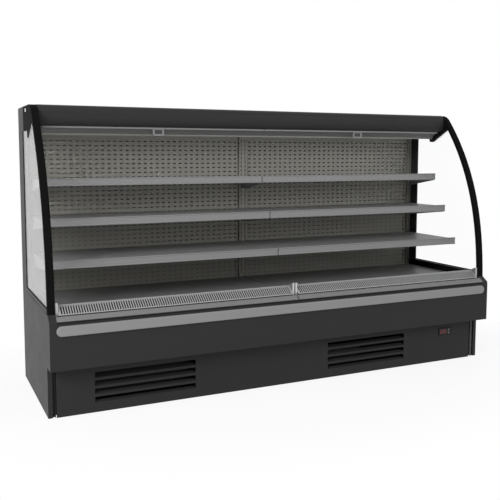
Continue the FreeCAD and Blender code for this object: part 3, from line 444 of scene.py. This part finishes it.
make_finishes(display_window, {"display_window": ((0.012, 0.002, 0.002), (0.03, 0.004, 0.004))})
make_finishes(front_highlight_plate, {"end_plate_pale": ((0.15, 0.152, 0.155), (0.56, 0.56, 0.55))})

# %% [markdown]
# ## Dressing the nodes
# Every slot has its finish now, with colours as they read in plain white light. A node could
# have several materials, but each of these is one sheet, profile or moulding, so it takes the
# finish of its slot on all its faces.

# %% Dress the nodes
def dress(piece, finish):
    """Give a piece one finish, on all its faces."""
    piece.data.materials.clear()
    piece.data.materials.append(finishes[finish])


for part in frame["record"]["subparts"]:
    dress(nodes[part["node"]], part["material_slot"])

# %% [markdown]
# ## The perforated duct panels
# Cold air leaves through rows of short round-ended slots in the rear panels. A picture of slots
# in a material would vanish from the side, so they are real holes: each cell of a grid is a ring
# of faces between its own border and the slot, and a Solidify modifier gives the sheet its
# thickness. A dark gap is left beside each upright, because the panels lift out.

# %% Mesh helpers
def mesh_piece(name, build, slot, body=None, replaces=(), finish=None, sheet=0.0, smooth=False):
    """New piece from a function that fills a bmesh, dressed, riding on a body."""
    made = bmesh.new()
    build(made)
    mesh = bpy.data.meshes.new(name)
    made.to_mesh(mesh)
    made.free()
    piece = bpy.data.objects.new(name, mesh)
    scene.collection.objects.link(piece)
    dress(piece, finish or slot)
    if body:
        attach(piece, body)
    if replaces:
        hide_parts(*replaces)
    if sheet:
        solid = piece.modifiers.new("sheet", "SOLIDIFY")
        solid.thickness = sheet
        solid.offset = -1.0
    if smooth:
        mesh.polygons.foreach_set("use_smooth", [True] * len(mesh.polygons))
    print(name, len(mesh.polygons), "faces")
    return piece


def points(made, places):
    """A vertex at each place."""
    return [made.verts.new(place) for place in places]


# %% Slot and panel outlines
slot_length = 0.018
slot_height = 0.007
slot_pitch_x = 0.035
slot_pitch_z = 0.025
slot_end_steps = 4
plain_top = 0.032
plain_foot = 0.012


def slot_outline(x, z):
    """Round-ended slot about a point, anticlockwise from its right end."""
    radius = slot_height / 2
    run = slot_length / 2 - radius
    outline = []
    for end, turn in ((1, -math.pi / 2), (-1, math.pi / 2)):
        for i in range(slot_end_steps + 1):
            angle = turn + math.pi * i / slot_end_steps
            outline.append((x + end * run + radius * math.cos(angle),
                            z + radius * math.sin(angle)))
    return outline


def perforated_panel(made, x0, x1, y, z0, z1):
    """Sheet with a border and a grid of slots."""
    columns = int((x1 - x0) / slot_pitch_x)
    rows = int((z1 - z0 - plain_top - plain_foot) / slot_pitch_z)
    left = (x0 + x1 - columns * slot_pitch_x) / 2
    foot = z1 - plain_top - rows * slot_pitch_z
    xs = [left + i * slot_pitch_x for i in range(columns + 1)]
    zs = [foot + j * slot_pitch_z for j in range(rows + 1)]
    corners = [points(made, [(x, y, z) for z in zs]) for x in xs]
    for i in range(columns):
        for j in range(rows):
            outline = slot_outline((xs[i] + xs[i + 1]) / 2, (zs[j] + zs[j + 1]) / 2)
            ring = points(made, [(x, y, z) for x, z in outline])
            half = len(ring) // 2
            low_left, low_right = corners[i][j], corners[i + 1][j]
            high_left, high_right = corners[i][j + 1], corners[i + 1][j + 1]
            made.faces.new([low_left, low_right, ring[0], ring[-1]])
            made.faces.new([high_right, high_left, ring[half], ring[half - 1]])
            made.faces.new([low_right, high_right] + ring[half - 1::-1])
            made.faces.new([high_left, low_left] + ring[:half - 1:-1])
    rim = points(made, ((x0, y, z0), (x1, y, z0), (x1, y, z1), (x0, y, z1)))
    made.faces.new([rim[0], rim[1]] + [column[0] for column in reversed(corners)])
    made.faces.new([rim[2], rim[3]] + [column[-1] for column in corners])
    made.faces.new([rim[1], rim[2]] + corners[-1][::-1])
    made.faces.new([rim[3], rim[0]] + corners[0])


# %% Perforated panels
panel_gap = 0.004
panel_low, panel_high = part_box("duct_panels")
upright_low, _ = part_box("shelf_uprights")
upright_width = panel_low.x - upright_low.x


def duct_panel_pair(made):
    for x0, x1 in ((panel_low.x, -upright_width), (upright_width, panel_high.x)):
        perforated_panel(made, x0 + panel_gap, x1 - panel_gap,
                         panel_low.y, panel_low.z, panel_high.z)


mesh_piece("perforated_duct_panels", duct_panel_pair, "warm_grey_paint", "case",
           replaces=["duct_panels"], sheet=panel_high.y - panel_low.y)

# %% [markdown]
# ## Painted shade under the return grilles
# Behind the bars of each return grille hangs a black pleated sheet: painted shade, which makes the
# slots look black. Each pleat is a fold of a thin sheet that follows the slope of the grille, just
# below its bars, so the sheet is built as a zigzag along the case.

# %% Pleated shade sheets
pleat_pitch = 0.012
pleat_rise = 0.0016
shade_sheet_drop = 0.0058
shade_sheet_foot = 0.008
shade_sheet_head = 0.0092
shade_sheet_end = 0.004
shade_sheet_thickness = 0.0008

# Near-black gauze: painted shade for the dark behind the grille bars.
make_finishes(grained_plastic, {"filter_gauze": ((0.008, 0.008, 0.008), 0.75, 0.05, 700.0)})


def strip(made, near, far):
    """Faces between two open rows of vertices."""
    for i in range(len(near) - 1):
        made.faces.new([near[i], near[i + 1], far[i + 1], far[i]])


def pleated_shade_sheet(side):
    low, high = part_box("return_grille_" + side)
    run = Vector((0.0, high.y - low.y, high.z - low.z)).normalized()
    out = Vector((0.0, -run.z, run.y))
    foot = Vector((0.0, low.y, low.z)) + run * shade_sheet_foot - out * shade_sheet_drop
    head = Vector((0.0, high.y, high.z)) - run * shade_sheet_head - out * shade_sheet_drop

    def build(made):
        x0, x1 = low.x + shade_sheet_end, high.x - shade_sheet_end
        folds = 2 * int((x1 - x0) / pleat_pitch)
        rows = []
        for i in range(folds + 1):
            along = Vector((x0 + (x1 - x0) * i / folds, 0.0, 0.0))
            lift = out * (pleat_rise if i % 2 else 0.0)
            rows.append(points(made, [end + lift + along for end in (foot, head)]))
        for near, far in zip(rows, rows[1:]):
            strip(made, far, near)

    # A black sheet put below the bars as painted shade.
    mesh_piece("return_shade_sheet_" + side, build, "honeycomb_plastic", "grille_" + side,
               finish="filter_gauze", sheet=shade_sheet_thickness)


for side in ("left", "right"):
    pleated_shade_sheet(side)

# %% [markdown]
# ## The night blinds
# Each blind hangs from its roller down to the pull bar. It is a thin cloth with a slight belly.
# A cloth simulation would hardly move so short a sheet, so the belly is a plain sine. The cloth
# is drawn once, at rest between the roller and the bar.

# %% Blind cloths
cloth_rows = 24
cloth_columns = 60
cloth_inset = 0.0006
cloth_belly = 0.0015
belly_even = 0.7
belly_wave = 0.3
belly_radians_per_metre = 9


def blind_cloth(side):
    low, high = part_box("blind_sheet_" + side)
    foot = Vector((0.0, low.y + cloth_inset, low.z))
    head = Vector((0.0, high.y - cloth_inset, high.z))

    def build(made):
        columns = []
        for i in range(cloth_columns + 1):
            x = low.x + (high.x - low.x) * i / cloth_columns
            fullness = belly_even + belly_wave * math.cos(belly_radians_per_metre * x)
            column = []
            for j in range(cloth_rows + 1):
                share = j / cloth_rows
                belly = cloth_belly * math.sin(math.pi * share) * fullness
                point = head.lerp(foot, share)
                column.append((x, point.y - belly, point.z))
            columns.append(points(made, column))
        for near, far in zip(columns, columns[1:]):
            strip(made, near, far)

    cloth = mesh_piece("blind_cloth_" + side, build, "blind_fabric",
                       replaces=["blind_sheet_" + side], smooth=True)
    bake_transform(cloth)


for side in ("left", "right"):
    blind_cloth(side)

# %% [markdown]
# ## The temperature display
# The controller shows a red temperature. Text would need a font, but seven-segment digits are
# easy to build: each segment is a small six-sided bar, and a digit lights the segments that it
# needs. They glow only a little, as they do in a bright shop.

# %% Red light
def red_light(name, dim, bright):
    finish = Finish(name)
    glow = finish.noise(600.0, detail=1.0)
    return finish.set(Base_Color=(0.1, 0.006, 0.006, 1.0),
                      Emission_Color=finish.mix(glow, dim, bright),
                      Emission_Strength=0.1)


make_finishes(red_light, {"red_light": ((0.7, 0.012, 0.08), (0.95, 0.03, 0.13))})

# %% Digits
digit_height = 0.022
digit_width = 0.0125
digit_pitch = 0.0165
digit_slant = 0.12
segment_width = 0.0026
segment_depth = 0.0003
segment_fill = 0.94
segment_places = {"a": (0, 1, 0), "b": (1, 0.5, 1), "c": (1, -0.5, 1), "d": (0, -1, 0),
                  "e": (-1, -0.5, 1), "f": (-1, 0.5, 1), "g": (0, 0, 0)}
digit_segments = {"0": "abcdef", "3": "abgcd", "5": "afgcd"}
shown_digits = ("0", "3", "5")


def band(made, near, far):
    """Faces between two closed rings of vertices."""
    for i in range(len(near)):
        made.faces.new([near[i - 1], near[i], far[i], far[i - 1]])


def add_bar(made, x, y, z, length, upright, lean_from):
    """One segment: a flat bar with pointed ends, along X or along Z."""
    half, tip = length / 2, segment_width / 2
    flat = [(-half, 0), (-half + tip, -tip), (half - tip, -tip),
            (half, 0), (half - tip, tip), (-half + tip, tip)]
    outline = [(x + (v if upright else u), z + (u if upright else v)) for u, v in flat]
    if upright:
        outline.reverse()
    leaned = [(px + (pz - lean_from) * digit_slant, pz) for px, pz in outline]
    front, back = [points(made, [(px, depth, pz) for px, pz in leaned])
                   for depth in (y - segment_depth, y)]
    made.faces.new(front)
    band(made, back, front)


def temperature(made):
    low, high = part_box("controller_display")
    middle_z = (low.z + high.z) / 2
    half_height = (digit_height - segment_width) / 2
    half_width = (digit_width - segment_width) / 2
    start = (low.x + high.x) / 2 - digit_pitch * (len(shown_digits) - 1) / 2
    for i, digit in enumerate(shown_digits):
        x = start + i * digit_pitch
        for name in digit_segments[digit]:
            u, v, upright = segment_places[name]
            length = (half_height if upright else 2 * half_width) * segment_fill
            add_bar(made, x + u * half_width, low.y, middle_z + v * half_height,
                    length, upright, middle_z)


mesh_piece("temperature_digits", temperature, "display_window", "case", finish="red_light")

# %% [markdown]
# ## Small fittings
# A pale cap covers the fixing of the canopy on each end wall. It is a flat rounded lozenge, so
# one ring of points at the wall and two more further out are enough for its soft edge.

# %% Fixing caps
cap_size = (0.024, 0.018)
cap_proud = 0.0015
cap_round = 0.004
cap_edge = 0.001
cap_corner_steps = 4
cap_place = (0.1445, 1.4505)

make_finishes(drawn_plastic, {"cap_white": ((0.62, 0.62, 0.61), 0.4)})


def rounded_outline(width, height, radius):
    """Points of a rectangle with round corners, anticlockwise about the origin."""
    outline = []
    for quarter, (u, v) in enumerate(((1, 1), (-1, 1), (-1, -1), (1, -1))):
        centre = (u * (width / 2 - radius), v * (height / 2 - radius))
        for i in range(cap_corner_steps + 1):
            angle = math.pi / 2 * (quarter + i / cap_corner_steps)
            outline.append((centre[0] + radius * math.cos(angle),
                            centre[1] + radius * math.sin(angle)))
    return outline


def fixing_caps(made):
    trim_low, trim_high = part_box("end_trims")
    width, height = cap_size
    y, z = cap_place
    steps = ((0.0, 0.0), (cap_proud - cap_edge, 0.0), (cap_proud, cap_edge))
    for side, x in ((-1, trim_low.x), (1, trim_high.x)):
        rings = []
        for out, inset in steps:
            outline = rounded_outline(width - 2 * inset, height - 2 * inset, cap_round - inset)
            places = [(x + side * out, y + side * u, z + v) for u, v in outline]
            rings.append(points(made, places))
        for near, far in zip(rings, rings[1:]):
            band(made, near, far)
        made.faces.new(rings[-1])


mesh_piece("fixing_caps", fixing_caps, "end_plate_pale", "case", finish="cap_white")

# %% [markdown]
# A slim grey bead hides the sloping strip in the right-hand corner of the base. It is a shallow
# arch, drawn up from the foot of the strip to its top, and its round face catches the light as a
# thin line. Its grey is much lighter than the charcoal around it: a painted highlight on the
# strip.

# %% Corner bead
strip_size = 0.008
strip_front = -0.3165
bead_rise = 0.0012
bead_steps = 8

# Light grey: a painted highlight where the strip catches the light.
make_finishes(drawn_plastic, {"bead_grey": ((0.085, 0.085, 0.085), 0.42)})


def corner_bead(made):
    plate_low, plate_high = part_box("kickplate")
    near = Vector((plate_high.x - strip_size, strip_front + strip_size, 0.0))
    far = Vector((plate_high.x, strip_front, 0.0))
    out = Vector((-1.0, -1.0, 0.0)).normalized()
    shares = [i / bead_steps for i in range(bead_steps + 1)]
    arch = [near.lerp(far, s) + out * bead_rise * math.sin(math.pi * s) for s in shares]
    foot, head = [points(made, [(p.x, p.y, z) for p in arch])
                  for z in (plate_low.z, plate_high.z)]
    strip(made, foot, head)
    made.faces.new(foot[::-1])
    made.faces.new(head)


mesh_piece("corner_bead", corner_bead, "charcoal_paint", "case", finish="bead_grey")

# %% [markdown]
# Each end glass stands in a rubber lip, which shows as a black line along its foot. A second,
# thin black strip below it is painted shade: it stands for the shadow in the groove of the edge
# profile. Both keep one section all along, so each is a short outline in X and Z that is drawn
# from front to back.

# %% Lip seal and painted groove shade at the foot of the glass
glass_seat = 0.012
glass_front = -0.3371
lip_section = ((0.0, 0.0), (0.0029, 0.0), (0.0029, 0.0024), (0.0016, 0.0046), (0.0, 0.005))
# Painted shade: a thin black strip where the groove of the edge profile lies in shadow.
groove_shade_section = ((0.003, -0.0232), (0.0034, -0.0226), (0.0034, -0.0208), (0.003, -0.0202))

# Black rubber for the lip, and painted shade for the groove strip.
make_finishes(grained_plastic, {"lip_rubber": ((0.012, 0.012, 0.012), 0.7, 0.008, 800.0)})


def foot_seal_and_groove_shade(made):
    pane_low, pane_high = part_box("end_glasses")
    foot = pane_low.z + glass_seat
    for side, x in ((-1, pane_low.x), (1, pane_high.x)):
        for section in (lip_section, groove_shade_section):
            front, rear = [points(made, [(x + side * u, y, foot + v) for u, v in section])
                           for y in (glass_front, pane_high.y)]
            band(made, front, rear)
            made.faces.new(front)
            made.faces.new(rear)
    bmesh.ops.recalc_face_normals(made, faces=made.faces)


mesh_piece("glass_foot_seal_and_groove_shade", foot_seal_and_groove_shade, "seal_rubber", "case", finish="lip_rubber")

# %% [markdown]
# ## The back
# The back is not shown, but it is seen from other sides. Such a wall is skinned with three
# sheets, so two lapped seams run up it, and domed rivets hold the seams and the edges. The
# machine cover below is screwed on along its top and foot. An Array modifier could copy one
# rivet, but a loop over their places also keeps them off the seams.

# %% Seams of the back
seam_width = 0.04
seam_rise = 0.0008
seam_slope = 0.003
seam_profile = ((-seam_width / 2, 0.0), (-seam_width / 2 + seam_slope, seam_rise),
                (seam_width / 2 - seam_slope, seam_rise), (seam_width / 2, 0.0))
wall_low, wall_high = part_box("back_wall")
sheet_width = (wall_high.x - wall_low.x) / 3
seams = [wall_low.x + sheet_width, wall_high.x - sheet_width]


def back_seams(made):
    for x in seams:
        foot, head = [points(made, [(x + u, wall_high.y + v, z) for u, v in seam_profile])
                      for z in (wall_low.z, wall_high.z)]
        strip(made, head, foot)


mesh_piece("back_seams", back_seams, "foam_wall", "case")

# %% Fasteners of the back
rivet_radius = 0.004
rivet_rise = 0.0012
screw_rise = 0.0024
rivet_pitch = 0.15
rivet_inset = 0.02
dome_sides = 12
dome_rings = ((1.0, 0.0), (0.8, 0.6), (0.4, 0.93))
cover_low, cover_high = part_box("rear_cover")


def add_dome(made, x, y, z, rise):
    """Low round head that faces backwards."""
    angles = [2 * math.pi * i / dome_sides for i in range(dome_sides)]
    rings = []
    for share, height in dome_rings:
        radius = share * rivet_radius
        rings.append(points(made, [(x - radius * math.cos(a), y + height * rise,
                                    z + radius * math.sin(a)) for a in angles]))
    top = made.verts.new((x, y + rise, z))
    for near, far in zip(rings, rings[1:]):
        band(made, near, far)
    for i in range(dome_sides):
        made.faces.new([rings[-1][i - 1], rings[-1][i], top])


def spaced(low, high):
    """Even places between two ends, about a rivet pitch apart."""
    count = max(1, round((high - low) / rivet_pitch))
    return [low + (high - low) * i / count for i in range(count + 1)]


def back_fasteners(made):
    z0, z1 = wall_low.z + rivet_inset, wall_high.z - rivet_inset
    for x in seams:
        for z in spaced(z0, z1):
            add_dome(made, x, wall_high.y + seam_rise, z, rivet_rise)
    for x in spaced(wall_low.x + rivet_inset, wall_high.x - rivet_inset):
        if min(abs(x - seam) for seam in seams) > seam_width:
            for z in (z0, z1):
                add_dome(made, x, wall_high.y, z, rivet_rise)
    for x in spaced(cover_low.x + rivet_inset, cover_high.x - rivet_inset)[::2]:
        for z in (cover_low.z + rivet_inset, cover_high.z - rivet_inset):
            add_dome(made, x, cover_high.y, z, screw_rise)


mesh_piece("back_fasteners", back_fasteners, "galvanised", "case", smooth=True)

# %% [markdown]
# ## Floor, background and light
# The picture is a cut-out on white, lit softly from the left. The world shows plain white to the
# camera, to mirrors and to glass, and gives a dimmer even light to everything else. The floor
# does the same, but keeps a share of its real shading near the case, so that a faint shadow still
# holds the case down.

# %% World
ambient = 0.42


def seen_ray(nodes):
    """1 on rays of the camera, of mirrors and of glass, 0 where light only bounces."""
    camera_ray = nodes.node("ShaderNodeLightPath", output="Is Camera Ray")
    outputs = camera_ray.output.node.outputs
    glossy_ray = Socket(nodes, outputs["Is Glossy Ray"])
    glass_ray = Socket(nodes, outputs["Is Transmission Ray"])
    return camera_ray.larger(glossy_ray).larger(glass_ray)


scene.world = bpy.data.worlds.new("studio")
scene.world.use_nodes = True
room = Nodes(scene.world.node_tree)
background = room.tree.nodes["Background"]
room.feed(background.inputs["Color"], (1.0, 1.0, 1.0, 1.0))
room.feed(background.inputs["Strength"], seen_ray(room) * (1.0 - ambient) + ambient)
scene.view_settings.view_transform = "Standard"
print("room light", ambient)

# %% Floor
floor_half = 20.0
shadow_share = 0.13
shadow_reach_x = 2.2
shadow_reach_y = 1.4
shadow_fade_start = 0.35
corners = [(-floor_half, -floor_half, 0.0), (floor_half, -floor_half, 0.0),
           (floor_half, floor_half, 0.0), (-floor_half, floor_half, 0.0)]
floor_mesh = bpy.data.meshes.new("floor")
floor_mesh.from_pydata(corners, [], [(0, 1, 2, 3)])
floor = bpy.data.objects.new("floor", floor_mesh)
scene.collection.objects.link(floor)


def pale_floor():
    finish = Finish("pale_floor")
    across = finish.axis("X") / shadow_reach_x
    along = finish.axis("Y") / shadow_reach_y
    near = 1.0 - finish.ramp(across * across + along * along, shadow_fade_start, 1.0)
    material = finish.set(Base_Color=(0.93, 0.93, 0.93, 1.0), Roughness=0.7,
                          Specular_IOR_Level=0.1)
    surface = Socket(finish, finish.shader.outputs[0])
    white = finish.node("ShaderNodeEmission")
    both = finish.node("ShaderNodeMixShader", None,
                       {0: seen_ray(finish) * (1.0 - near * shadow_share), 1: surface, 2: white})
    finish.feed(finish.tree.nodes["Material Output"].inputs["Surface"], both)
    return material


floor.data.materials.append(pale_floor())
print("floor keeps", shadow_share, "of its shading")

# %% [markdown]
# Two large soft lamps shape the case: a key from the left and a weak fill from the right. Area
# lamps are used because their size sets how soft a shadow's edge is.

# %% Lamps
def soft_lamp(name, place, target, size, power):
    lamp = bpy.data.lights.new(name, "AREA")
    lamp.shape = "RECTANGLE"
    lamp.size, lamp.size_y = size
    lamp.energy = power
    stand = bpy.data.objects.new(name, lamp)
    stand.location = place
    stand.rotation_euler = (Vector(target) - Vector(place)).to_track_quat("-Z", "Y").to_euler()
    scene.collection.objects.link(stand)
    print(name, "lamp", power, "W")


soft_lamp("key", place=(-4.2, -2.6, 3.2), target=(0.0, 0.0, 0.7), size=(2.6, 2.2), power=190.0)
soft_lamp("fill", place=(3.0, -4.4, 2.6), target=(0.2, 0.0, 0.7), size=(2.6, 2.0), power=60.0)
